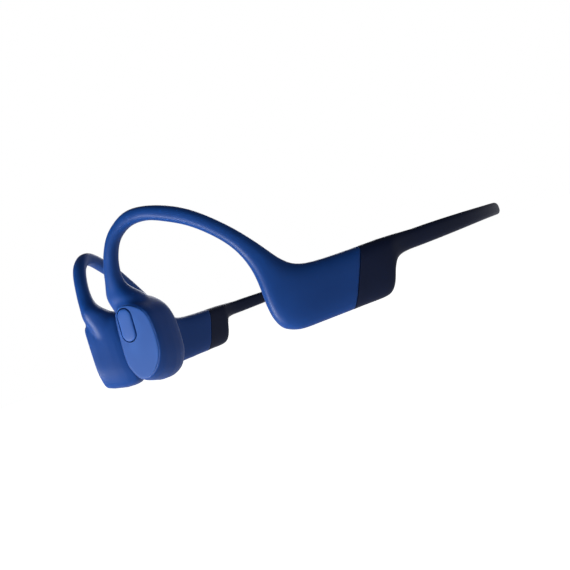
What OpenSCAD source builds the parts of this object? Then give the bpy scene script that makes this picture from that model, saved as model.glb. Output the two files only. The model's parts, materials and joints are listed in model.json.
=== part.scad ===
// Bone conduction headphones: two transducers on ear hooks, two pods and a springy neckband.
// Left side is +X, forward is -Y, up is +Z. The pods and transducers rest on z = 0.

/* [Neckband] */
// Radius of the neckband behind the head
rear_radius = 65; // [63:0.5:67]
// Radius of the neckband beside the head
side_radius = 50; // [48:0.5:52]
// Distance of the neckband's rear middle behind the origin
rear_y = 74.7; // [72:0.1:77]
// Half of the length of the flexing middle section
flex_half = 24; // [20:1:30]

/* [Pods] */
// Height of a pod
pod_height = 16.3; // [16:0.1:16.6]
// Thickness of a pod
pod_thick = 8.1; // [8.1:0.1:9]
// Thickness of the silicone skin on the pods
skin = 0.7; // [0.6:0.05:0.75]
// Wall of the pod casing
case_wall = 0.9; // [0.8:0.05:1]

/* [Transducers] */
// Distance of a transducer's centre from the plane of symmetry
trans_x = 16.8; // [16.4:0.1:17.2]
// Distance of a transducer's centre in front of the origin
trans_y = 68.2; // [68:0.1:69]
// Angle by which the outer plate is turned forward
toe = 55; // [50:1:58]
// Thickness of a transducer between its two faces
trans_thick = 12.5; // [12.5:0.1:13.5]

/* [Buttons] */
// Travel of the multifunction button
button_travel = 0.4; // [0.3:0.05:0.5]
// Travel of each volume button
volume_travel = 0.3; // [0.2:0.05:0.35]

/* [Hidden] */
$fn = 32;
hair = 0.05;               // gap between nested layers of one body
blue = [0.12, 0.27, 0.58];
pale_blue = [0.24, 0.40, 0.72];
navy = [0.05, 0.08, 0.18];
steel = [0.72, 0.73, 0.75];
copper = [0.75, 0.42, 0.25];

// ---------- the curve that the whole object follows, seen from above ----------
// Each piece is [length, turn in degrees], from the rear middle forward on the left side.
pod_straight = 20;
front_radius = 73.4;
front_turn = 48;
waist_radius = 97.5;
waist_turn = 20;
plan = [
    [rear_radius * 45 * PI / 180, 45],
    [side_radius * 45 * PI / 180, 45],
    [waist_radius * waist_turn * PI / 180, waist_turn],
    [pod_straight, 0],
    [front_radius * front_turn * PI / 180, front_turn]
];

// One step along a piece: chord of an arc that starts at p = [x, y, heading]
function advance(p, len, turn) =
    let (chord = turn == 0 ? len : 2 * len * 180 / PI / turn * sin(turn / 2), mid = p[2] - turn / 2)
    [p[0] + chord * cos(mid), p[1] + chord * sin(mid), p[2] - turn];
function walk(s, i = 0, p = [0, rear_y, 0]) =
    i == len(plan) - 1 || s <= plan[i][0]
        ? advance(p, s, plan[i][1] * s / plan[i][0])
        : walk(s - plan[i][0], i + 1, advance(p, plan[i][0], plan[i][1]));
// A point at distance s along the curve, off to the outside of it, at height z
function at(s, off, z) =
    let (p = walk(abs(s)), x = p[0] - off * sin(p[2])) [s < 0 ? -x : x, p[1] + off * cos(p[2]), z];

// ---------- sections: [top s, top z, low s, low z, half thickness, offset, wall] ----------
half = pod_thick / 2;
top = pod_height;
hook_half = 2.25;
tube = 1.1;                // wall of silicone round the wire and cable in the hook
skin_sections = [
    [126.5, top, 134.4, 0, half, 0, skin],
    [131, top, 141, 0, half, 0, skin],
    [137, top + 0.15, 146.5, 0, half, 0, skin],
    [140.5, top + 0.35, 150, 0.15, half, 0, skin],
    [143.6, top + 0.8, 152.6, 0.9, half, 0, skin],
    [145.7, top + 1.5, 154.6, 2.1, half, 0, skin],
    [147.2, top + 2.4, 155.8, 3.9, half - 0.05, 0, skin],
    [148.5, top + 3.6, 156.6, 6.6, half - 0.1, 0, skin],
    [149.7, top + 5, 156.9, 10, half - 0.25, 0, skin],
    [150.9, top + 6.7, 156.9, 14.6, half - 0.5, 0, 0.8],
    [152.3, top + 8.8, 157.3, 19.8, half - 0.95, 0, 0.9],
    [154.2, top + 11.5, 158.6, 24.4, 2.65, 0, 1],
    [157.4, top + 15.6, 160.9, 28.8, 2.35, 0, tube],
    [162.2, top + 20.8, 165.3, 34, hook_half, 0, tube],
    [168, top + 25.8, 170.6, 38.5, hook_half, 0, tube],
    [174.4, top + 29.4, 176.1, 41.7, hook_half, 0.1, tube],
    [178.4, top + 30.9, 179.1, 43.1, hook_half, 0.2, tube],
    [182.1, top + 31.8, 182, 43.8, 2.2, 0.3, tube],
    [185.6, top + 31.6, 184.9, 43.8, 2.15, 0.6, tube],
    [189, top + 30.2, 187.6, 42.9, 2.1, 0.9, 1.05],
    [192.1, top + 27.9, 190, 41.1, 2.1, 1.3, 1],
    [194.6, top + 24.6, 191.7, 38.4, 2.1, 1.6, 1],
    [196.8, top + 20.2, 192.8, 35.2, 2.1, 1.8, 1],
    [198.5, top + 14.9, 193.2, 30.5, 2.4, 1.9, tube],
    [199.9, top + 11.7, 192.2, 27.8, 3, 1.3, tube],
    [199.4, 25.6, 191.6, 25.6, 3.7, -0.2, tube]
];
sleeve_sections = [
    [126.45, top, 134.35, 0, half, 0, skin],
    [123.5, top, 129, 0, half, 0, skin],
    [121.8, top, 125.4, 0.05, half, 0, skin],
    [120.6, top, 123.4, 0.8, half, 0, skin],
    [119.4, top - 0.05, 121.6, 2.4, half - 0.05, 0, skin],
    [118.2, top - 0.1, 120.2, 4.8, half - 0.2, 0, skin],
    [116.9, top - 0.15, 118.7, 7.2, half - 0.55, 0, 0.75],
    [115, top - 0.25, 116.7, 9.2, half - 1.15, 0, 0.9],
    [112.6, top - 0.4, 113.5, 10.1, 2.3, 0, 1],
    [109, top - 0.6, 109, 10.25, 1.9, 0, 1]
];
band_end = 108.95;         // where the neckband meets the rear sleeve
band_thin = 70;            // from here to the rear middle the band keeps one section
band_top = 15;
band_low = 10.8;
band_half = 1.65;
band_wall = 0.95;          // wall of silicone round the wire and cable in the neckband
function band_section(s) =
    let (t = min(1, max(0, (abs(s) - band_thin) / (band_end - band_thin))), k = t * t * (3 - 2 * t))
    [s, band_top + (top - 0.6 - band_top) * k, s, band_low - 0.55 * k, band_half + 0.25 * k, 0, band_wall];

// ---------- lofts through sections ----------
ring_points = 16;
squareness = 2.6;
// Superellipse term: c to the power 2/n, keeping its sign
function bow(c, n) = sign(c) * pow(abs(c), 2 / n);
// A point of a section drawn in by inset: u runs from low (-1) to top (1), v across (-1 to 1)
function section_point(q, inset, u, v) =
    let (ds = (q[0] - q[2]) / 2, dz = (q[1] - q[3]) / 2, k = 1 - inset / norm([ds, dz]))
    at((q[0] + q[2]) / 2 + ds * u * k, q[5] + (q[4] - inset) * v, (q[1] + q[3]) / 2 + dz * u * k);
// A ring of points round one section, with a flat at its top and at its bottom
function ring(q, inset = 0, n = squareness, count = ring_points) =
    let (full = bow(cos(180 / count), n))
    [for (j = [0 : count - 1])
        let (a = 360 * (j + 0.5) / count)
        section_point(q, inset, bow(cos(a), n) / full, bow(sin(a), n) / full)];
// The outer (face = 1) or inner (face = -1) half of such a ring, from the top seam to the bottom seam
function half_ring(q, inset, face) =
    let (half_count = ring_points / 2, full = bow(cos(180 / ring_points), squareness))
    [for (j = [-1 : half_count])
        let (a = 360 * (j + 0.5) / ring_points)
        j < 0 ? section_point(q, inset, 1, 0)
            : j == half_count ? section_point(q, inset, -1, 0)
            : section_point(q, inset, bow(cos(a), squareness) / full, face * bow(sin(a), squareness) / full)];

// Closed solid through rings, with flat ends
module solid(rings) {
    n = len(rings[0]);
    m = len(rings);
    sides = [for (i = [0 : m - 2], j = [0 : n - 1])
        [i * n + j, i * n + (j + 1) % n, (i + 1) * n + (j + 1) % n, (i + 1) * n + j]];
    ends = [[for (j = [n - 1 : -1 : 0]) j], [for (j = [0 : n - 1]) (m - 1) * n + j]];
    flipped = [for (f = concat(sides, ends)) [for (k = [len(f) - 1 : -1 : 0]) f[k]]];
    polyhedron([for (r = rings) each r], flipped);
}

// Hollow tube: outer rings one way and inner rings back, closed on itself
module tube_of(outer, inner) {
    all = concat(outer, [for (i = [len(inner) - 1 : -1 : 0]) inner[i]]);
    n = len(all[0]);
    m = len(all);
    faces = [for (i = [0 : m - 1], j = [0 : n - 1])
        [i * n + j, ((i + 1) % m) * n + j, ((i + 1) % m) * n + (j + 1) % n, i * n + (j + 1) % n]];
    polyhedron([for (r = all) each r], faces);
}

// Half of a shell: an open strip between outer and inner rings, with its edges closed
module half_shell(outer, inner) {
    n = len(outer[0]);
    m = len(outer);
    k = 2 * n;
    rings = [for (i = [0 : m - 1]) concat(outer[i], [for (j = [n - 1 : -1 : 0]) inner[i][j]])];
    sides = [for (i = [0 : m - 2], j = [0 : k - 1])
        [i * k + j, (i + 1) * k + j, (i + 1) * k + (j + 1) % k, i * k + (j + 1) % k]];
    caps = [for (e = [0, m - 1], j = [0 : n - 2])
        let (f = [e * k + j, e * k + j + 1, e * k + k - 2 - j, e * k + k - 1 - j])
        e == 0 ? f : [f[3], f[2], f[1], f[0]]];
    polyhedron([for (r = rings) each r], concat(sides, caps));
}

module both(side) {
    if (side > 0) children();
    else mirror([1, 0, 0]) children();
}

// ---------- silicone skin, wire and cable ----------
module skin_of(side) {
    color(blue) both(side)
        tube_of([for (q = skin_sections) ring(q)], [for (q = skin_sections) ring(q, q[6])]);
}
module sleeve_of(side) {
    color(navy) both(side)
        tube_of([for (q = sleeve_sections) ring(q)], [for (q = sleeve_sections) ring(q, q[6])]);
}
module band_piece(s0, s1, rings) {
    sections = [for (i = [0 : rings]) band_section(s0 + (s1 - s0) * i / rings)];
    color(navy)
        tube_of([for (q = sections) ring(q, 0, squareness, 12)], [for (q = sections) ring(q, q[6], 2, 12)]);
}

// A round wire through [s, offset, z] points
wire_sides = 8;
module wire(route, r) {
    pts = [for (q = route) at(q[0], q[1], q[2])];
    solid([for (i = [0 : len(pts) - 1])
        let (
            d = pts[min(i + 1, len(pts) - 1)] - pts[max(i - 1, 0)], w = d / norm(d),
            u = at(route[i][0], 1, 0) - at(route[i][0], 0, 0), v = cross(w, u)
        )
        [for (j = [0 : wire_sides - 1])
            let (a = 360 * j / wire_sides) pts[i] + r * (cos(a) * u + sin(a) * v)]]);
}
hook_from = 11;
// Middle of each hook section, moved off by o towards the outside of the head
function hook_route(o) =
    [for (i = [hook_from : len(skin_sections) - 1])
        let (q = skin_sections[i]) [(q[0] + q[2]) / 2, q[5] + o, (q[1] + q[3]) / 2]];
wire_r = 0.4;
cable_r = 0.45;
lead_gap = 0.5;
module hook_wire(side) { color(steel) both(side) wire(hook_route(lead_gap), wire_r); }
module hook_cable(side) { color(copper) both(side) wire(hook_route(-lead_gap), cable_r); }
wire_step = 6;
wire_steps = 18;
function band_route(o) =
    [for (i = [0 : wire_steps])
        let (s = 0.5 + i * wire_step, q = band_section(s)) [s, 0, (q[1] + q[3]) / 2 + o]];
module band_wire(side) { color(steel) both(side) wire(band_route(0.5), 0.35); }
module band_cable(side) { color(copper) both(side) wire(band_route(-0.45), 0.4); }

// ---------- pod casing ----------
case_sections = concat([for (i = [6 : -1 : 1]) sleeve_sections[i]], [for (i = [0 : 9]) skin_sections[i]]);
module case_half(side, face) {
    outer = [for (q = case_sections) half_ring(q, q[6] + hair, face)];
    inner = [for (q = case_sections) half_ring(q, q[6] + hair + case_wall, face)];
    color([0.16, 0.17, 0.2]) both(side)
        if (face > 0) half_shell(outer, inner);
        else half_shell(inner, outer);
}

// ---------- pod contents, placed along the pod's straight part ----------
pod_s = 134.4;               // middle of the pod's straight part
pod_at = walk(pod_s);
module in_pod(s = pod_s, off = 0) {
    p = at(s, off, 0);
    translate(p) rotate([0, 0, pod_at[2]]) children();
}
module battery() {
    color([0.6, 0.62, 0.66]) in_pod() translate([-8, -1.8, 3.6]) cube([19, 3.6, 9.6]);
    color([0.85, 0.65, 0.2]) in_pod() translate([-9, -0.9, 6]) cube([1, 1.8, 4.8]);
}
board_z = 3.4;
module circuit_board() {
    color([0.1, 0.35, 0.2]) both(-1) in_pod() translate([-9, -0.2, board_z]) cube([21, 0.8, 9.8]);
    color([0.1, 0.1, 0.1]) both(-1) in_pod() translate([-1, 0.6, 5]) cube([6, 0.9, 6]);
    color([0.1, 0.1, 0.1]) both(-1) in_pod() translate([-7, 0.6, 6]) cube([4, 0.7, 3]);
}

// ---------- volume buttons, port and light under the right pod ----------
vol_len = 6.2;
vol_wide = 2.6;
vol_s = [146.2, 139.2];
vol_low = 0.25;
vol_top = 2.1;
vol_gap = 0.2;
module stadium(len, wide, grow = 0) {
    square([len - wide, wide + 2 * grow], center = true);
    for (x = [-1, 1]) translate([x * (len - wide) / 2, 0]) circle(d = wide + 2 * grow);
}
module volume_button(s) {
    color([0.06, 0.08, 0.14]) both(-1) in_pod(s) translate([0, 0, vol_low])
        linear_extrude(vol_top - vol_low) stadium(vol_len, vol_wide);
}
module volume_switches() {
    for (s = vol_s)
        color(steel) both(-1) in_pod(s) {
            translate([-1.6, -1.1, 2.7]) cube([3.2, 1.5, 0.6]);
            translate([0, -0.35, 2.45]) cylinder(r = 0.7, h = 0.25);
        }
}
port_s = 131;
port_depth = 0.7;
port_len = 5.6;
port_wide = 3;
module charge_port() {
    color([0.1, 0.1, 0.12]) both(-1) in_pod(port_s) difference() {
        translate([0, 0, 0.15]) linear_extrude(2.2) stadium(port_len, port_wide);
        translate([0, 0, -0.5]) linear_extrude(0.5 + port_depth) stadium(port_len - 0.8, port_wide, -0.4);
        for (x = [-1.4, 1.4]) translate([x, 0, -1]) cylinder(r = 0.45, h = 5);
    }
}
module charge_contacts() {
    color([0.85, 0.7, 0.35]) both(-1) in_pod(port_s)
        for (x = [-1.4, 1.4]) translate([x, 0, port_depth - 0.1]) cylinder(r = 0.42, h = 2.2);
}
light_s = 126.6;
module status_light() {
    color([0.9, 0.95, 1]) both(-1) in_pod(light_s) translate([0, 0, 0.35]) cylinder(r = 0.6, h = 1.5);
}

// ---------- transducers: local axes are x forward along the plate, y out of it, z up ----------
module in_transducer(side) {
    both(side) translate([trans_x, -trans_y, 0]) rotate([0, 0, 270 - toe]) children();
}
half_trans = trans_thick / 2;
// Outlines of the body and of its outer face, seen from outside, counter-clockwise: [forward, up]
body_outline = [
    [6.5, 8.5], [6.4, 14.5], [6, 19.5], [5.3, 23.2], [3.4, 25], [0.4, 25.4], [-2.4, 24.5], [-5.2, 22.2],
    [-7, 19.3], [-7.7, 15.2], [-7.6, 10.5], [-6.9, 5.8], [-4.6, 1.9], [-1.5, 0.1], [1.4, 0], [4.3, 1.3],
    [5.9, 4.6]
];
face_outline = [
    [6, 8.5], [5.5, 14.5], [4.8, 19.3], [4, 22.4], [2, 24], [-0.6, 23.9], [-3.1, 22.8], [-5.4, 20.9],
    [-6.7, 18.3], [-7, 14.6], [-6.75, 10.6], [-5.9, 7.4], [-4.1, 4.6], [-1.5, 2.6], [1.2, 1.9], [3.6, 2.8],
    [5.2, 5.3]
];
curve_steps = 2;
function spline_at(p, i, t) =
    let (n = len(p), a = p[(i + n - 1) % n], b = p[i], c = p[(i + 1) % n], d = p[(i + 2) % n])
    0.5 * (2 * b + (c - a) * t + (2 * a - 5 * b + 4 * c - d) * t * t + (3 * b - a - 3 * c + d) * t * t * t);
function smooth(outline) =
    [for (i = [0 : len(outline) - 1], k = [0 : curve_steps - 1]) spline_at(outline, i, k / curve_steps)];
smooth_body = smooth(body_outline);
smooth_face = smooth(face_outline);
// One ring at depth y, share k of the way from the body's outline to the face's, drawn in by inset
// towards an upright line, given as [forward, low end, top end]
mid_line = [-0.5, 7.5, 17.5];
function plate_ring(inset, y, k = 0) =
    [for (i = [0 : len(smooth_body) - 1])
        let (
            p = smooth_body[i] * (1 - k) + smooth_face[i] * k,
            q = [mid_line[0], min(max(p[1], mid_line[1]), mid_line[2])],
            d = q - p,
            e = p + inset * d / norm(d)
        )
        [e[0], y, max(0, e[1])]];
// Rings from a list of [inset, depth, share]
function plate_rings(profile) = [for (q = profile) plate_ring(q[0], q[1], q[2])];

rim = 0.6;                 // width of the housing's rim round the cover plate
wall = 1.2;                // wall of the housing
lip = 2.6;                 // width of the lip round the contact pad
y_out = half_trans;        // outer face
y_in = -half_trans;        // face towards the head
module housing(side) {
    outer = [[lip, y_in, 0], [1.4, y_in + 0.4, 0], [0.5, y_in + 1.2, 0], [0.1, y_in + 2.6, 0], [0, -1, 0],
             [0, 1.8, 0.3], [0, y_out - 1.6, 0.75], [0.05, y_out - 0.7, 0.95], [0.25, y_out - 0.15, 1],
             [rim, y_out - 0.05, 1]];
    inner = [[lip, y_in, 0], [lip, y_in + 1.05, 0], [wall, y_in + 1.1, 0], [wall, 1.8, 0.3],
             [wall, y_out - 1.5, 0.8], [rim, y_out - 1.4, 1], [rim, y_out - 0.05, 1]];
    color(blue) in_transducer(side) ring_walls(plate_rings(outer), plate_rings(inner));
}
// A wall whose outer and inner profiles share their first and last rings
module ring_walls(outer, inner) {
    tube_of([for (i = [len(outer) - 1 : -1 : 0]) outer[i]], [for (i = [len(inner) - 2 : -1 : 1]) inner[i]]);
}
// Flat piece with the transducer's outline, between two depths
module plate_prism(side, inset, k, y0, y1) {
    in_transducer(side) translate([0, y1, 0]) rotate([90, 0, 0]) linear_extrude(y1 - y0)
        polygon([for (p = plate_ring(inset, 0, k)) [p[0], p[2]]]);
}
module cover_plate(side) {
    color(pale_blue)
        if (side > 0) difference() {
            plate_prism(side, rim + hair, 1, y_out - 1.2, y_out);
            in_transducer(side) button_place() translate([0, 0, -3]) linear_extrude(6)
                stadium(button_len, button_wide, button_gap);
        }
        else plate_prism(side, rim + hair, 1, y_out - 1.2, y_out);
}
module contact_pad(side) {
    color(navy) in_transducer(side)
        solid(plate_rings([[lip + hair, y_in + 1, 0], [lip + hair, y_in + 0.3, 0], [lip + 1, y_in, 0]]));
}

// Driver: the frame carries the voice coil, and the magnet's weight hangs on the leaf spring
driver_x = -0.9;
driver_z = 12;
module on_driver(side, y) {
    in_transducer(side) translate([driver_x, y, driver_z]) rotate([-90, 0, 0]) children();
}
frame_in = wall + 0.15;
frame_y = y_in + 1.15;
frame_thick = 0.7;
frame_r = 5.1;
frame_bore = 4.9;
yoke_r = 4.5;
yoke_bore = 3.9;
yoke_y = -3.1;
yoke_base_y = 0.4;
spring_y = 1.8;
magnet_r = 2.5;
pole_thick = 0.9;
module driver_frame(side) {
    color([0.2, 0.2, 0.22]) {
        plate_prism(side, frame_in, 0, frame_y, frame_y + frame_thick);
        on_driver(side, frame_y + frame_thick - 0.2) difference() {
            cylinder(r = frame_r, h = spring_y - frame_y - frame_thick + 0.2);
            translate([0, 0, -1]) cylinder(r = frame_bore, h = 10);
        }
    }
}
module voice_coil(side) {
    color(copper) on_driver(side, frame_y + frame_thick) difference() {
        cylinder(r = 3.5, h = 2.8);
        translate([0, 0, -1]) cylinder(r = 3, h = 5);
    }
}
module yoke(side) {
    color(steel) on_driver(side, yoke_y) difference() {
        union() {
            cylinder(r = yoke_r, h = yoke_base_y + 1 - yoke_y);
            cylinder(r = 1.4, h = spring_y - hair - yoke_y);
        }
        translate([0, 0, -1]) cylinder(r = yoke_bore, h = 1 + yoke_base_y - yoke_y);
    }
}
module magnet(side) {
    color([0.5, 0.5, 0.53]) on_driver(side, yoke_base_y - 1.6) cylinder(r = magnet_r, h = 1.6);
}
module pole_plate(side) {
    color(steel) on_driver(side, yoke_base_y - 1.6 - pole_thick) cylinder(r = magnet_r, h = pole_thick);
}
module leaf_spring(side) {
    color([0.8, 0.78, 0.7]) on_driver(side, spring_y) linear_extrude(0.15) difference() {
        circle(r = frame_r);
        for (a = [0, 120, 240]) rotate(a) difference() {
            intersection() {
                circle(r = frame_bore - 0.5);
                translate([0.5, 0.5]) square(8);
            }
            circle(r = 2);
        }
    }
}

// Multifunction button in the left cover plate: local z points out of the plate
button_len = 9.2;
button_wide = 4.2;
button_gap = 0.15;
button_proud = 0.3;
button_lean = 5;
module button_place() {
    translate([1.3, y_out, 18]) rotate([-90, 0, 0]) rotate(90 - button_lean) children();
}
module function_button() {
    skirt = 1.9;
    color([0.30, 0.46, 0.78]) in_transducer(1) button_place() {
        translate([0, 0, -skirt]) linear_extrude(skirt + button_proud) stadium(button_len, button_wide);
        translate([button_len / 2 - 1, -0.8, -skirt]) cube([1.5, 1.6, 0.5]);
        translate([-1.5, button_wide / 2 - 0.4, -skirt]) cube([3, 1, 0.5]);
        translate([0, 0, -skirt - 0.4]) cylinder(r = 0.9, h = 0.5);
    }
}
module function_switch() {
    color([0.1, 0.35, 0.2]) in_transducer(1) button_place() translate([-3, -1.2, -3.6]) cube([7, 3.6, 0.4]);
    color(steel) in_transducer(1) button_place() translate([0, 0, -3.2]) cylinder(r = 1.4, h = 0.4);
}
module microphone() {
    color([0.8, 0.8, 0.82]) in_transducer(1)
        translate([0.6, 2.2, 3.6]) rotate([-90, 0, 0]) cylinder(r = 1.3, h = 1.1);
}

// ---------- openings in the pod skins and casings ----------
// Space for the two volume buttons, the port and the light
module pod_cuts() {
    both(-1) {
        for (s = vol_s) in_pod(s) translate([0, 0, -1]) linear_extrude(4) stadium(vol_len, vol_wide, vol_gap);
        in_pod(port_s) translate([0, 0, -1]) linear_extrude(4) stadium(port_len, port_wide, hair);
        in_pod(light_s) translate([0, 0, -1]) cylinder(r = 0.6 + hair, h = 4);
    }
}

skin_of(1);  // skin_left
difference() { skin_of(-1); pod_cuts(); }  // skin_right
hook_wire(1);  // hook_wire_left
hook_wire(-1);  // hook_wire_right
hook_cable(1);  // hook_cable_left
hook_cable(-1);  // hook_cable_right
housing(1);  // housing_left
housing(-1);  // housing_right
cover_plate(1);  // cover_plate_left
cover_plate(-1);  // cover_plate_right
contact_pad(1);  // contact_pad_left
contact_pad(-1);  // contact_pad_right
driver_frame(1);  // driver_frame_left
driver_frame(-1);  // driver_frame_right
yoke(1);  // yoke_left
yoke(-1);  // yoke_right
magnet(1);  // magnet_left
magnet(-1);  // magnet_right
pole_plate(1);  // pole_plate_left
pole_plate(-1);  // pole_plate_right
voice_coil(1);  // voice_coil_left
voice_coil(-1);  // voice_coil_right
leaf_spring(1);  // leaf_spring_left
leaf_spring(-1);  // leaf_spring_right
function_button();
function_switch();
microphone();
case_half(1, 1);  // case_outer_left
difference() { case_half(-1, 1); pod_cuts(); }  // case_outer_right
case_half(1, -1);  // case_inner_left
difference() { case_half(-1, -1); pod_cuts(); }  // case_inner_right
battery();
circuit_board();
volume_button(vol_s[0]);  // volume_up
volume_button(vol_s[1]);  // volume_down
volume_switches();
charge_port();
charge_contacts();
status_light();
sleeve_of(1);  // rear_sleeve_left
difference() { sleeve_of(-1); pod_cuts(); }  // rear_sleeve_right
band_piece(flex_half, band_end, 20);  // neckband_left
both(-1) band_piece(flex_half, band_end, 20);  // neckband_right
band_piece(-flex_half, flex_half, 10);  // neckband_middle
band_wire(1);  // band_wire_left
band_wire(-1);  // band_wire_right
band_cable(1);  // band_cable_left
band_cable(-1);  // band_cable_right
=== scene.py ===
import json
import math

import bmesh
import bpy
import numpy as np
from mathutils import Matrix, Vector


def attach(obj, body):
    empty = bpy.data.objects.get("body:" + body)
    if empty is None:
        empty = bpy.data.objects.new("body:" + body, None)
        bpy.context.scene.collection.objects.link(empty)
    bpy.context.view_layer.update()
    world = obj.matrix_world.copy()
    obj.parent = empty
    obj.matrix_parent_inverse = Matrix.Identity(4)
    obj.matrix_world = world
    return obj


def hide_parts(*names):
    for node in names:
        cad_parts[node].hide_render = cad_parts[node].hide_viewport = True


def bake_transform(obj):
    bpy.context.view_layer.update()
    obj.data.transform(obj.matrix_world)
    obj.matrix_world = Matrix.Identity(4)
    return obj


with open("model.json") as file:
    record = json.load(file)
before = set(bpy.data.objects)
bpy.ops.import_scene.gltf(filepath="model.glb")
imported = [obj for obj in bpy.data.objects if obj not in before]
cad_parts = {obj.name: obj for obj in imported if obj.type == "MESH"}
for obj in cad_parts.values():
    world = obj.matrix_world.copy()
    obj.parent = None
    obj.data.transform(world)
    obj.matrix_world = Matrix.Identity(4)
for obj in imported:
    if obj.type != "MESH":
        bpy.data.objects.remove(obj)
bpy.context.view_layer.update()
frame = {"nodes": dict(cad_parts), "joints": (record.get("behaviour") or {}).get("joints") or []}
MM = 0.001

# ---------------------------------------------------------------- the plan curve, in millimetres
flex = next(j for j in frame["joints"] if j["name"] == "neckband_flex")
REAR_Y = flex["pos_m"][1] / MM
POD_STRAIGHT = 20


def arc(radius, turn):
    """Length and turn in degrees of one stretch of the plan."""
    return radius * math.radians(turn), turn


# Stretches from the neckband's rear middle to the left transducer: band rear, band side, waist, pod, hook
PLAN = [arc(65, 45), arc(50, 45), arc(97.5, 20), (POD_STRAIGHT, 0), arc(73.4, 48)]


def walk(s):
    x, y, heading = 0.0, REAR_Y, 0.0
    for i, (length, turn) in enumerate(PLAN):
        last = i == len(PLAN) - 1 or s <= length
        step = s if last else length
        part = turn * step / length
        chord = step if abs(part) < 1e-9 else 2 * step / math.radians(part) * math.sin(math.radians(part / 2))
        mid = math.radians(heading - part / 2)
        x, y, heading = x + chord * math.cos(mid), y + chord * math.sin(mid), heading - part
        if last:
            return x, y, heading
        s -= length


def at(s, off, z):
    """A point at distance s along the plan, off outside it, at height z. Negative s is the right side."""
    x, y, heading = walk(abs(s))
    h = math.radians(heading)
    x -= off * math.sin(h)
    return Vector((-x if s < 0 else x, y + off * math.cos(h), z))


# Sections: top s, top z, low s, low z, half thickness, offset, squareness
TOP = 16.3
HALF = 4.05
POD_SQUARE = 3.3
SKIN = [
    (126.52, TOP, 134.42, 0, HALF, 0, POD_SQUARE), (131, TOP, 141, 0, HALF, 0, POD_SQUARE),
    (137, TOP + 0.15, 146.5, 0, HALF, 0, POD_SQUARE), (140.5, TOP + 0.35, 150, 0.15, HALF, 0, POD_SQUARE),
    (143.6, TOP + 0.8, 152.6, 0.9, HALF, 0, POD_SQUARE), (145.7, TOP + 1.5, 154.6, 2.1, HALF, 0, 3.2),
    (147.2, TOP + 2.4, 155.8, 3.9, 4.0, 0, 3.1), (148.5, TOP + 3.6, 156.6, 6.6, 3.95, 0, 3.0),
    (149.7, TOP + 5, 156.9, 10, 3.8, 0, 2.9), (150.9, TOP + 6.7, 156.9, 14.6, 3.55, 0, 2.75),
    (152.3, TOP + 8.8, 157.3, 19.8, 3.1, 0, 2.6), (154.2, TOP + 11.5, 158.6, 24.4, 2.65, 0, 2.45),
    (157.4, TOP + 15.6, 160.9, 28.8, 2.35, 0, 2.35), (162.2, TOP + 20.8, 165.3, 34, 2.25, 0, 2.3),
    (168, TOP + 25.8, 170.6, 38.5, 2.25, 0, 2.3), (174.4, TOP + 29.4, 176.1, 41.7, 2.25, 0.1, 2.3),
    (178.4, TOP + 30.9, 179.1, 43.1, 2.25, 0.2, 2.3), (182.1, TOP + 31.73, 182, 43.8, 2.2, 0.3, 2.3),
    (185.6, TOP + 31.6, 184.9, 43.8, 2.15, 0.6, 2.3), (189, TOP + 30.2, 187.6, 42.9, 2.1, 0.9, 2.3),
    (192.1, TOP + 27.9, 190, 41.1, 2.1, 1.3, 2.3), (194.6, TOP + 24.6, 191.7, 38.4, 2.1, 1.6, 2.3),
    (196.8, TOP + 20.2, 192.8, 35.2, 2.1, 1.8, 2.3), (198.5, TOP + 14.9, 193.1, 30.5, 2.45, 1.8, 2.4),
    (200, TOP + 11.6, 191.8, 27.8, 3.3, 1.1, 2.5), (200, 25.4, 190, 25.2, 4.6, 0, 2.6),
    (199.9, 22, 189.5, 21.6, 4.6, -1, 2.6), (199.4, 17.5, 190.5, 17, 4.2, -1.2, 2.6),
    (198.6, 12.5, 191.5, 12, 3.6, -1.2, 2.6),
]
SLEEVE = [
    (126.42, TOP, 134.32, 0, HALF, 0, POD_SQUARE), (123.5, TOP, 129, 0, HALF, 0, POD_SQUARE),
    (121.8, TOP, 124.6, 0.02, HALF, 0, POD_SQUARE), (120.6, TOP, 122.5, 0.5, HALF, 0, 3.2),
    (119.4, TOP - 0.05, 121, 2, 4.0, 0, 3.1), (118.2, TOP - 0.1, 119.9, 4.5, 3.85, 0, 3.0),
    (116.9, TOP - 0.15, 118.6, 7, 3.5, 0, 2.9), (115, TOP - 0.25, 116.7, 9.1, 2.9, 0, 2.8),
    (112.6, TOP - 0.4, 113.5, 10.1, 2.3, 0, 2.7), (109, TOP - 0.6, 109, 10.25, 1.9, 0, 2.6),
]
BAND_THIN = 70
BAND_END = 109.0


def band_section(s):
    t = min(1, max(0, (s - BAND_THIN) / (BAND_END - BAND_THIN)))
    k = t * t * (3 - 2 * t)
    return (s, 15 + (TOP - 0.6 - 15) * k, s, 10.8 - 0.55 * k, 1.65 + 0.25 * k, 0, 2.6)


def smooth_rows(rows, steps):
    """A cubic through the rows, spaced by how far apart they lie, with the given steps between two rows."""
    p = np.array(rows, float)
    gap = np.linalg.norm(np.diff(p[:, :4], axis=0), axis=1)
    t = np.concatenate([[0], np.cumsum(gap)])
    n = len(p)
    a = np.zeros((n, n))
    b = np.zeros((n, p.shape[1]))
    a[0, 0] = a[-1, -1] = 1
    for i in range(1, n - 1):
        a[i, i - 1:i + 2] = gap[i - 1], 2 * (gap[i - 1] + gap[i]), gap[i]
        b[i] = 6 * ((p[i + 1] - p[i]) / gap[i] - (p[i] - p[i - 1]) / gap[i - 1])
    m = np.linalg.solve(a, b)
    out = []
    for i in range(n - 1):
        h = gap[i]
        for k in range(steps):
            u = k / steps * h
            out.append(m[i] * (h - u) ** 3 / (6 * h) + m[i + 1] * u ** 3 / (6 * h)
                       + (p[i] / h - m[i] * h / 6) * (h - u) + (p[i + 1] / h - m[i + 1] * h / 6) * u)
    out.append(p[-1])
    return out


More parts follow.
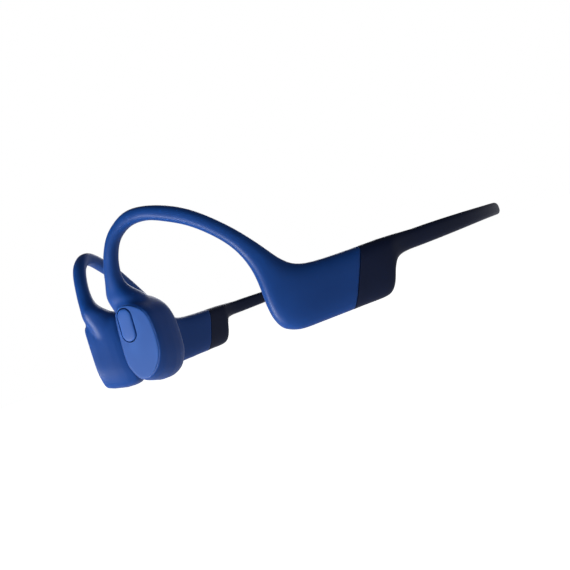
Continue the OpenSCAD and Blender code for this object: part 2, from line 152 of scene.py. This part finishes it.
def ring(q, count=56):
    """A superellipse ring round one section."""
    s, z, ds, dz = (q[0] + q[2]) / 2, (q[1] + q[3]) / 2, (q[0] - q[2]) / 2, (q[1] - q[3]) / 2
    points = []
    for j in range(count):
        a = 2 * math.pi * (j + 0.5) / count
        u = math.copysign(abs(math.cos(a)) ** (2 / q[6]), math.cos(a))
        v = math.copysign(abs(math.sin(a)) ** (2 / q[6]), math.sin(a))
        p = at(s + ds * u, q[5] + q[4] * v, z + dz * u)
        points.append(Vector((p.x, p.y, max(0.0, p.z))))
    return points


# ---------------------------------------------------------------- meshes
def loft(rings, closed=True):
    n = len(rings[0])
    verts = [p for r in rings for p in r]
    faces = [(i * n + j, i * n + (j + 1) % n, (i + 1) * n + (j + 1) % n, (i + 1) * n + j)
             for i in range(len(rings) - 1) for j in range(n)]
    if closed:
        faces += [tuple(range(n))[::-1], tuple((len(rings) - 1) * n + j for j in range(n))]
    return verts, faces


def make(name, verts, faces, matrix=None, mirror=False):
    """An object from millimetre coordinates, with its faces turned outwards."""
    mesh = bpy.data.meshes.new(name)
    mesh.from_pydata([tuple(v) for v in verts], [], faces)
    bm = bmesh.new()
    bm.from_mesh(mesh)
    flip = Matrix.Scale(-1, 4, (1, 0, 0)) if mirror else Matrix.Identity(4)
    bm.transform(Matrix.Scale(MM, 4) @ flip @ (matrix or Matrix.Identity(4)))
    bmesh.ops.recalc_face_normals(bm, faces=bm.faces)
    bm.to_mesh(mesh)
    bm.free()
    obj = bpy.data.objects.new(name, mesh)
    bpy.context.scene.collection.objects.link(obj)
    for poly in mesh.polygons:
        poly.use_smooth = True
    return obj


def bake(obj):
    """Applies the object's modifiers."""
    bpy.context.view_layer.update()
    done = bpy.data.meshes.new_from_object(obj.evaluated_get(bpy.context.evaluated_depsgraph_get()))
    obj.modifiers.clear()
    obj.data = done
    for poly in done.polygons:
        poly.use_smooth = True


def add(obj, kind, **values):
    modifier = obj.modifiers.new(kind.lower(), kind)
    for key, value in values.items():
        setattr(modifier, key, value)
    return modifier


SHARP_ANGLE = 40


def cut(obj, *cutters):
    """Cuts the cutters out of the object, with crisp edges where they meet it."""
    for cutter in cutters:
        add(obj, "BOOLEAN", operation="DIFFERENCE", solver="EXACT", object=cutter)
    bake(obj)
    obj.data.set_sharp_from_angle(angle=math.radians(SHARP_ANGLE))


def drop(*objects):
    for obj in objects:
        bpy.data.objects.remove(obj)


def join(name, *objects):
    with bpy.context.temp_override(active_object=objects[0], selected_editable_objects=list(objects),
                                   selected_objects=list(objects), object=objects[0]):
        bpy.ops.object.join()
    objects[0].name = name
    return objects[0]


# ---------------------------------------------------------------- the transducer, in its own axes
TRANS_X, TRANS_Y, TOE = 16.8, 68.2, 55
OUT, IN = 6.25, -6.25
# Outlines of the body and of its outer face, seen from outside, anticlockwise: (forward, up)
BODY_OUTLINE = [(6.5, 8.5), (6.4, 14.5), (6, 19.5), (5.3, 23.2), (3.4, 25), (0.4, 25.4), (-2.4, 24.5),
                (-5.2, 22.2), (-7, 19.3), (-7.7, 15.2), (-7.6, 10.5), (-6.9, 5.8), (-4.6, 1.9), (-1.5, 0.1),
                (1.4, 0), (4.3, 1.3), (5.9, 4.6)]
FACE_OUTLINE = [(6, 8.5), (5.5, 14.5), (4.8, 19.3), (4, 22.4), (2, 24), (-0.6, 23.9), (-3.1, 22.8),
                (-5.4, 20.9), (-6.7, 18.3), (-7, 14.6), (-6.75, 10.6), (-5.9, 7.4), (-4.1, 4.6), (-1.5, 2.6),
                (1.2, 1.9), (3.6, 2.8), (5.2, 5.3)]
# The upright line that insets draw towards
MID_X, MID_LOW, MID_TOP = -0.5, 7.5, 17.5
TO_TRANSDUCER = Matrix.Translation((TRANS_X, -TRANS_Y, 0)) @ Matrix.Rotation(math.radians(270 - TOE), 4, "Z")


def closed_spline(points, steps):
    n, out = len(points), []
    for i in range(n):
        a, b, c, d = (np.array(points[(i + k) % n], float) for k in (-1, 0, 1, 2))
        for k in range(steps):
            t = k / steps
            out.append(0.5 * (2 * b + (c - a) * t + (2 * a - 5 * b + 4 * c - d) * t * t
                              + (3 * b - a - 3 * c + d) * t ** 3))
    return out


BODY_SMOOTH = closed_spline(BODY_OUTLINE, 6)
FACE_SMOOTH = closed_spline(FACE_OUTLINE, 6)


def plate_ring(inset, depth, share=0.0):
    """A ring at one depth, a share of the way from the body's outline to the face's, drawn in by inset."""
    points = []
    for body, face in zip(BODY_SMOOTH, FACE_SMOOTH):
        p = body * (1 - share) + face * share
        inward = np.array((MID_X, min(max(p[1], MID_LOW), MID_TOP))) - p
        forward, rise = p + inset * inward / np.linalg.norm(inward)
        points.append(Vector((forward, depth, max(0.0, rise))))
    return points


def plate_rings(profile):
    """Rings from (inset, depth) or (inset, depth, share)."""
    return [plate_ring(*row) for row in profile]


def stadium(length, width, grow, count=16):
    """The outline of a slot with round ends, grown all round."""
    r, half = width / 2 + grow, (length - width) / 2
    points = []
    for end in (1, -1):
        for k in range(count + 1):
            a = -math.pi / 2 + math.pi * k / count
            points.append((end * (half + r * math.cos(a)), end * r * math.sin(a)))
    return points


def stadium_rings(length, width, profile):
    """Rings of a stadium, from (grow, height) pairs."""
    return [[Vector((x, y, h)) for x, y in stadium(length, width, grow)] for grow, h in profile]


BUTTON_LONG, BUTTON_WIDE = 9.4, 4.5
BUTTON_CENTRE = (1.3, OUT, 18.1)
BUTTON_TURN = 85
TO_BUTTON = (TO_TRANSDUCER @ Matrix.Translation(BUTTON_CENTRE) @ Matrix.Rotation(math.radians(-90), 4, "X")
             @ Matrix.Rotation(math.radians(BUTTON_TURN), 4, "Z"))

# Fittings under the right pod, by their place along the plan
VOLUME_S = (146.2, 139.2)
VOLUME_SIZE = (6.2, 2.6)
PORT_S = 131
PORT_SIZE = (5.6, 3)
LIGHT_S = 126.6
LIGHT_SIZE = (1.3, 1.299)
POD_S = 134.4


def in_pod(s):
    """From axes along the straight pod, at its underside, to the left side's axes."""
    x, y, _ = walk(s)
    return Matrix.Translation((x, y, 0)) @ Matrix.Rotation(math.radians(walk(POD_S)[2]), 4, "Z")


# ---------------------------------------------------------------- materials
def link(tree, a, b):
    tree.links.new(a, b)


MOTTLE_SIZE = 14


def material(name, dark, light, rough, bump, grain, metallic=0.0, sheen=0.0, sheen_tint=(1, 1, 1), coat=0.0,
             specular=0.5, edge_highlight=None, stretch=(1, 1, 1), glow=None):
    """Mottled colour between dark and light, with fine grain in the bump and the roughness.

    Sizes of grain and bump are in millimetres. Edge highlight is a lighter colour painted on convex edges, a
    painted highlight."""
    mat = bpy.data.materials.new(name)
    mat.use_nodes = True
    tree = mat.node_tree
    shader = tree.nodes["Principled BSDF"]
    coords = tree.nodes.new("ShaderNodeTexCoord")
    scale = tree.nodes.new("ShaderNodeMapping")
    scale.inputs["Scale"].default_value = stretch
    link(tree, coords.outputs["Object"], scale.inputs["Vector"])

    def noise(size, detail, roughness=0.5):
        node = tree.nodes.new("ShaderNodeTexNoise")
        node.inputs["Scale"].default_value = 1 / (size * MM)
        node.inputs["Detail"].default_value = detail
        node.inputs["Roughness"].default_value = roughness
        link(tree, scale.outputs["Vector"], node.inputs["Vector"])
        return node.outputs["Fac"]

    def ramp(source, low, high, a, b):
        node = tree.nodes.new("ShaderNodeMapRange")
        node.inputs["From Min"].default_value, node.inputs["From Max"].default_value = low, high
        node.inputs["To Min"].default_value, node.inputs["To Max"].default_value = a, b
        link(tree, source, node.inputs["Value"])
        return node.outputs["Result"]

    broad = noise(MOTTLE_SIZE, 3)
    fine = noise(grain, 4, 0.6)
    mixed = tree.nodes.new("ShaderNodeMix")
    mixed.data_type = "RGBA"
    mixed.inputs["A"].default_value = (*dark, 1)
    mixed.inputs["B"].default_value = (*light, 1)
    link(tree, ramp(broad, 0.3, 0.7, 0, 1), mixed.inputs["Factor"])
    colour = mixed.outputs["Result"]
    # Painted highlight: convex edges, found by pointiness, get a lighter colour that stands in for rim light
    if edge_highlight:
        geometry = tree.nodes.new("ShaderNodeNewGeometry")
        edge = tree.nodes.new("ShaderNodeMix")
        edge.data_type = "RGBA"
        edge.inputs["B"].default_value = (*edge_highlight, 1)
        link(tree, colour, edge.inputs["A"])
        link(tree, ramp(geometry.outputs["Pointiness"], 0.52, 0.62, 0, 0.5), edge.inputs["Factor"])
        colour = edge.outputs["Result"]
    link(tree, colour, shader.inputs["Base Color"])
    link(tree, ramp(fine, 0.3, 0.7, rough - 0.05, rough + 0.05), shader.inputs["Roughness"])
    bumped = tree.nodes.new("ShaderNodeBump")
    bumped.inputs["Strength"].default_value = 0.5
    bumped.inputs["Distance"].default_value = bump * MM
    link(tree, fine, bumped.inputs["Height"])
    link(tree, bumped.outputs["Normal"], shader.inputs["Normal"])
    shader.inputs["Metallic"].default_value = metallic
    shader.inputs["Sheen Weight"].default_value = sheen
    shader.inputs["Sheen Roughness"].default_value = 0.35
    shader.inputs["Sheen Tint"].default_value = (*sheen_tint, 1)
    shader.inputs["Coat Weight"].default_value = coat
    shader.inputs["Specular IOR Level"].default_value = specular
    if glow:
        shader.inputs["Emission Color"].default_value = (*glow, 1)
        shader.inputs["Emission Strength"].default_value = 0.15
    return mat


LAVENDER = (0.62, 0.62, 0.95)
# The edge colours given below are painted highlights on convex edges
BLUE = material("silicone_blue", (0.003, 0.046, 0.225), (0.005, 0.055, 0.26), 0.42, 0.02, 0.28, sheen=0.05,
                sheen_tint=LAVENDER, specular=0.25, edge_highlight=(0.014, 0.09, 0.38))
PLATE = material("satin_plate", (0.015, 0.072, 0.29), (0.018, 0.082, 0.32), 0.5, 0.012, 0.2, sheen=0.05,
                 sheen_tint=LAVENDER, specular=0.14, edge_highlight=(0.03, 0.14, 0.47))
BUTTON = material("button_cap", (0.017, 0.08, 0.32), (0.02, 0.09, 0.35), 0.46, 0.01, 0.2, sheen=0.05,
                  sheen_tint=LAVENDER, specular=0.18, edge_highlight=(0.045, 0.15, 0.5))
# Painted shade: the contact pad is a darker copy of the blue silicone, for the shade on the inner face
PAD_SHADED = material("pad_silicone", (0.004, 0.024, 0.13), (0.006, 0.03, 0.15), 0.55, 0.03, 0.35, sheen=0.08,
               sheen_tint=LAVENDER, specular=0.3)
NAVY = material("silicone_navy", (0.0022, 0.0075, 0.034), (0.0032, 0.0098, 0.042), 0.46, 0.02, 0.28,
                sheen=0.03, sheen_tint=LAVENDER, specular=0.22, edge_highlight=(0.008, 0.016, 0.06))
KEY = material("volume_rubber", (0.002, 0.004, 0.014), (0.003, 0.006, 0.02), 0.5, 0.03, 0.3, sheen=0.05,
               specular=0.3)
STEEL = material("drawn_wire", (0.42, 0.42, 0.44), (0.55, 0.55, 0.57), 0.28, 0.01, 0.15, metallic=1,
                 stretch=(1, 1, 6))
JACKET = material("cable_jacket", (0.012, 0.012, 0.014), (0.02, 0.02, 0.022), 0.5, 0.02, 0.3)
POLYMER = material("black_polymer", (0.006, 0.0065, 0.008), (0.011, 0.012, 0.014), 0.55, 0.03, 0.25)
IRON = material("plated_iron", (0.5, 0.5, 0.52), (0.6, 0.6, 0.61), 0.3, 0.01, 0.2, metallic=1)
NICKEL = material("magnet_nickel", (0.58, 0.57, 0.54), (0.66, 0.65, 0.62), 0.16, 0.005, 0.2, metallic=1)
COPPER = material("coil_copper", (0.5, 0.2, 0.09), (0.62, 0.27, 0.13), 0.32, 0.02, 0.12, metallic=1,
                  stretch=(1, 1, 12))
SPRING = material("spring_steel", (0.55, 0.54, 0.5), (0.64, 0.63, 0.6), 0.24, 0.01, 0.12, metallic=1,
                  stretch=(1, 8, 1))
BOARD = material("solder_mask", (0.01, 0.07, 0.03), (0.015, 0.09, 0.04), 0.35, 0.02, 0.5, coat=0.4)
FOIL = material("battery_foil", (0.5, 0.52, 0.55), (0.6, 0.62, 0.65), 0.35, 0.05, 1.2, metallic=0.9)
GOLD = material("gold_contact", (0.8, 0.55, 0.2), (0.86, 0.62, 0.26), 0.2, 0.004, 0.15, metallic=1)
LENS = material("light_lens", (0.75, 0.8, 0.85), (0.8, 0.85, 0.9), 0.3, 0.01, 0.3, glow=(0.8, 0.9, 1))
PORT = material("port_polymer", (0.005, 0.0055, 0.007), (0.009, 0.0095, 0.011), 0.5, 0.02, 0.2)


def paint(obj, mat):
    obj.data.materials.clear()
    obj.data.materials.append(mat)


# ---------------------------------------------------------------- the blue silicone, each side one moulding
VOXEL = 0.3
BODY_PROFILE = [(4.2, IN + 0.02), (3.2, IN), (2.6, IN), (2.0, IN + 0.12), (1.4, IN + 0.4), (0.9, IN + 0.75),
                (0.5, IN + 1.2), (0.25, IN + 1.8), (0.1, IN + 2.6), (0, IN + 4), (0, 0, 0.1), (0, 2.0, 0.35),
                (0, OUT - 2.2, 0.62), (0, OUT - 1.2, 0.85), (0.04, OUT - 0.6, 0.95), (0.14, OUT - 0.25, 1),
                (0.35, OUT - 0.07, 1), (0.6, OUT - 0.1, 1), (1.6, OUT - 0.5, 1), (3.2, OUT - 0.5, 1)]


def clamp(value):
    return min(1.0, max(0.0, value))


FRONT_Y = -0.052           # only the hooks' front ends and the transducers lie further forward


def fillet_weight(point):
    """How strongly the flare from hook to transducer is smoothed. It starts higher up by the outer face."""
    if point.y > FRONT_Y:
        return 0.0
    p = TO_TRANSDUCER.inverted() @ Vector((abs(point.x) / MM, point.y / MM, point.z / MM))
    start = 15 + 5 * clamp((p.y - 1.5) / 2)
    return clamp((p.z - start) / 4) * clamp((33 - p.z) / 4)


def silicone(side):
    """Ear hook, pod skin and transducer body of one side, as one mesh."""
    left = side == "left"
    rows = smooth_rows(SKIN, 5)
    shell = make("silicone_" + side, *loft([ring(q) for q in rows]), mirror=not left)
    pod = make("pod_end", *loft(plate_rings(BODY_PROFILE)), matrix=TO_TRANSDUCER, mirror=not left)
    shell = join("silicone_" + side, shell, pod)
    add(shell, "REMESH", mode="VOXEL", voxel_size=VOXEL * MM, use_smooth_shade=True)
    bake(shell)
    group = shell.vertex_groups.new(name="flare")
    for v in shell.data.vertices:
        w = fillet_weight(v.co)
        if w > 0:
            group.add([v.index], w, "REPLACE")
    add(shell, "SMOOTH", factor=0.5, iterations=70, vertex_group="flare")
    add(shell, "SMOOTH", factor=0.5, iterations=5)
    bake(shell)
    return shell


blue = {side: silicone(side) for side in ("left", "right")}

# Recess for the multifunction button, and the two slots for the volume buttons
pocket = make("pocket", *loft(stadium_rings(BUTTON_LONG, BUTTON_WIDE, [(0.28, -2.6), (0.28, 2)])),
              matrix=TO_BUTTON)
cut(blue["left"], pocket)
slots = [make("slot", *loft(stadium_rings(*VOLUME_SIZE, [(0.25, -1), (0.25, 1.9)])), matrix=in_pod(s),
              mirror=True)
         for s in VOLUME_S]
cut(blue["right"], *slots)
drop(*slots)

for side, obj in blue.items():
    paint(obj, BLUE)
    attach(obj, side + "_side")
    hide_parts("skin_" + side, "housing_" + side)

# ---------------------------------------------------------------- cover plates, contact pads and the button
RIM = 0.6
plate_profile = [(RIM + 0.05, OUT - 0.8, 1), (RIM + 0.03, OUT - 0.15, 1), (RIM + 0.08, OUT - 0.02, 1),
                 (RIM + 0.22, OUT + 0.03, 1), (RIM + 0.5, OUT + 0.05, 1), (RIM + 0.9, OUT + 0.055, 1),
                 (RIM + 1.6, OUT + 0.055, 1)]
pad_profile = [(4.6, IN - 0.06), (3.6, IN - 0.04), (3.0, IN + 0.0), (2.75, IN + 0.08), (2.65, IN + 0.25),
               (2.65, IN + 1.0)]
for side in ("left", "right"):
    flip = side == "right"
    plate = make("plate_" + side, *loft(plate_rings(plate_profile)), matrix=TO_TRANSDUCER, mirror=flip)
    if not flip:
        cut(plate, pocket)
    paint(plate, PLATE)
    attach(plate, side + "_side")
    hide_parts("cover_plate_" + side)
    pad = make("pad_" + side, *loft(plate_rings(pad_profile)), matrix=TO_TRANSDUCER, mirror=flip)
    paint(pad, PAD_SHADED)
    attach(pad, side + "_side")
    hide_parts("contact_pad_" + side)
drop(pocket)

cap = make("button_cap", *loft(stadium_rings(BUTTON_LONG, BUTTON_WIDE, [
    (0, -1.9), (0, -0.1), (-0.03, 0.08), (-0.1, 0.2), (-0.24, 0.28), (-0.5, 0.33), (-1.0, 0.37),
    (-1.5, 0.385)])),
    matrix=TO_BUTTON)
paint(cap, BUTTON)
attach(cap, "function_button")
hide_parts("function_button")

# ---------------------------------------------------------------- the navy silicone: sleeves and band
BAND_STEP = 1.5
half_rows = smooth_rows(SLEEVE, 6)
half_rows += [np.array(band_section(s)) for s in np.arange(BAND_END - 1, 0.5, -BAND_STEP)]
rings_left = [ring(q, 48) for q in half_rows]
rings_right = [[Vector((-p.x, p.y, p.z)) for p in r] for r in reversed(rings_left)]
band = make("neckband", *loft(rings_left + rings_right))
cutters = [make("cut", *loft(stadium_rings(*size, [(grow, -1), (grow, depth)])), matrix=in_pod(s), mirror=True)
           for s, size, grow, depth in ((PORT_S, PORT_SIZE, 0.08, 2.5), (LIGHT_S, LIGHT_SIZE, 0, 2))]
cut(band, *cutters)
drop(*cutters)
paint(band, NAVY)
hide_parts("rear_sleeve_left", "rear_sleeve_right", "neckband_left", "neckband_right",
            "neckband_middle")
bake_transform(band)


LEAD_END = 108.5
LEAD_STEP = 2.48
LEAD_SIDES = 14


def lead(name, rise, radius, mat, nodes):
    """A wire or cable along the inside of the band, following its curve."""
    rings = []
    for s in np.arange(-LEAD_END, BAND_END, LEAD_STEP):
        q = band_section(abs(s))
        centre = at(s, 0, (q[1] + q[3]) / 2 + rise)
        out = (at(s, 1, 0) - at(s, 0, 0)).normalized()
        rings.append([centre + radius * (out * math.cos(a) + Vector((0, 0, 1)) * math.sin(a))
                      for a in (2 * math.pi * k / LEAD_SIDES for k in range(LEAD_SIDES))])
    obj = make(name, *loft(rings))
    paint(obj, mat)
    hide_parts(*nodes)
    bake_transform(obj)


lead("spring_wire", 0.5, 0.35, STEEL, ("band_wire_left", "band_wire_right"))
lead("link_cable", -0.45, 0.4, JACKET, ("band_cable_left", "band_cable_right"))

# ---------------------------------------------------------------- volume buttons under the right pod
for name, s in zip(("volume_up", "volume_down"), VOLUME_S):
    key = make(name + "_key", *loft(stadium_rings(*VOLUME_SIZE, [
        (-0.9, 0.2), (-0.5, 0.21), (-0.25, 0.26), (-0.1, 0.36), (-0.02, 0.5), (0, 0.7), (0, 2.1)])),
        matrix=in_pod(s), mirror=True)
    paint(key, KEY)
    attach(key, name)
    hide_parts(name)

# ---------------------------------------------------------------- materials of the CAD nodes that stay
LOOKS = {"hook_wire": STEEL, "hook_cable": JACKET, "driver_frame": POLYMER, "yoke": IRON, "magnet": NICKEL,
         "pole_plate": IRON, "voice_coil": COPPER, "leaf_spring": SPRING, "function_switch": BOARD,
         "microphone": IRON, "case_": POLYMER, "battery": FOIL, "circuit_board": BOARD,
         "volume_switches": BOARD, "charge_port": PORT, "charge_contacts": GOLD, "status_light": LENS}
for name, obj in frame["nodes"].items():
    if obj.hide_render:
        continue
    paint(obj, next(mat for key, mat in LOOKS.items() if name.startswith(key)))

# ---------------------------------------------------------------- floor, light and camera
FLOOR_Z = -0.14
FLOOR_HALF = 12


def floor(mat):
    mesh = bpy.data.meshes.new("floor")
    corners = ((-1, -1), (1, -1), (1, 1), (-1, 1))
    mesh.from_pydata([(a * FLOOR_HALF, b * FLOOR_HALF, FLOOR_Z) for a, b in corners], [], [(0, 1, 2, 3)])
    obj = bpy.data.objects.new("floor", mesh)
    bpy.context.scene.collection.objects.link(obj)
    obj.data.materials.append(mat)


# The paper looks white, and gives less light than it shows
paper = material("studio_paper", (0.93, 0.93, 0.94), (0.95, 0.95, 0.96), 0.9, 0.02, 2, glow=(1, 1, 1))
paper_tree = paper.node_tree
paper_path = paper_tree.nodes.new("ShaderNodeLightPath")
paper_glow = paper_tree.nodes.new("ShaderNodeMapRange")
paper_glow.inputs["To Min"].default_value, paper_glow.inputs["To Max"].default_value = 0.3, 1.0
link(paper_tree, paper_path.outputs["Is Camera Ray"], paper_glow.inputs["Value"])
paper_strength = paper_tree.nodes["Principled BSDF"].inputs["Emission Strength"]
link(paper_tree, paper_glow.outputs["Result"], paper_strength)
floor(paper)

# White all round to look at, while the light it gives falls off from the horizon to overhead
world = bpy.data.worlds.new("studio")
bpy.context.scene.world = world
world.use_nodes = True
sky = world.node_tree
seen = sky.nodes["Background"]
seen.inputs["Color"].default_value = (1, 1, 1, 1)
lit = sky.nodes.new("ShaderNodeBackground")
lit.inputs["Color"].default_value = (0.95, 0.96, 1, 1)
direction = sky.nodes.new("ShaderNodeTexCoord")
height = sky.nodes.new("ShaderNodeSeparateXYZ")
fade = sky.nodes.new("ShaderNodeMapRange")
fade.interpolation_type = "SMOOTHSTEP"
fade.inputs["From Min"].default_value, fade.inputs["From Max"].default_value = 0.0, 0.6
fade.inputs["To Min"].default_value, fade.inputs["To Max"].default_value = 0.48, 0.1
path = sky.nodes.new("ShaderNodeLightPath")
choose = sky.nodes.new("ShaderNodeMixShader")
link(sky, direction.outputs["Generated"], height.inputs["Vector"])
link(sky, height.outputs["Z"], fade.inputs["Value"])
link(sky, fade.outputs["Result"], lit.inputs["Strength"])
link(sky, path.outputs["Is Camera Ray"], choose.inputs["Fac"])
link(sky, lit.outputs["Background"], choose.inputs[1])
link(sky, seen.outputs["Background"], choose.inputs[2])
link(sky, choose.outputs["Shader"], sky.nodes["World Output"].inputs["Surface"])


def lamp(name, position, target, size, power, colour=(1, 1, 1)):
    data = bpy.data.lights.new(name, "AREA")
    data.shape = "DISK"
    data.size, data.energy, data.color = size, power, colour
    obj = bpy.data.objects.new(name, data)
    obj.location = position
    obj.rotation_euler = (Vector(target) - Vector(position)).to_track_quat("-Z", "Y").to_euler()
    bpy.context.scene.collection.objects.link(obj)


lamp("low_front", (-0.02, -0.42, -0.1), (0.02, -0.04, 0.02), 0.22, 2.3)
lamp("back", (-0.45, 0.35, 0.25), (0, 0, 0.02), 0.3, 0.8, (0.9, 0.92, 1))

CAMERA_PLACE = (0.19597, -0.13448, 0.01092)
CAMERA_AZIMUTH, CAMERA_ELEVATION, CAMERA_ROLL = 57.09, -0.70, -20.53
CAMERA_LENS = 41.0526
camera_data = bpy.data.cameras.new("camera")
camera_data.sensor_width = 36
camera_data.lens = CAMERA_LENS
camera_data.clip_start, camera_data.clip_end = 0.005, 100
camera = bpy.data.objects.new("camera", camera_data)
bpy.context.scene.collection.objects.link(camera)
azimuth, elevation, roll = (math.radians(a) for a in (CAMERA_AZIMUTH, CAMERA_ELEVATION, CAMERA_ROLL))
back = Vector((math.sin(azimuth) * math.cos(elevation), -math.cos(azimuth) * math.cos(elevation),
               math.sin(elevation)))
level = (-back).cross(Vector((0, 0, 1))).normalized()
upright = level.cross(-back)
right = math.cos(roll) * level + math.sin(roll) * upright
up = -math.sin(roll) * level + math.cos(roll) * upright
camera.matrix_world = Matrix.Translation(CAMERA_PLACE) @ Matrix((right, up, back)).transposed().to_4x4()
bpy.context.scene.camera = camera
bpy.context.scene.view_settings.view_transform = "Standard"
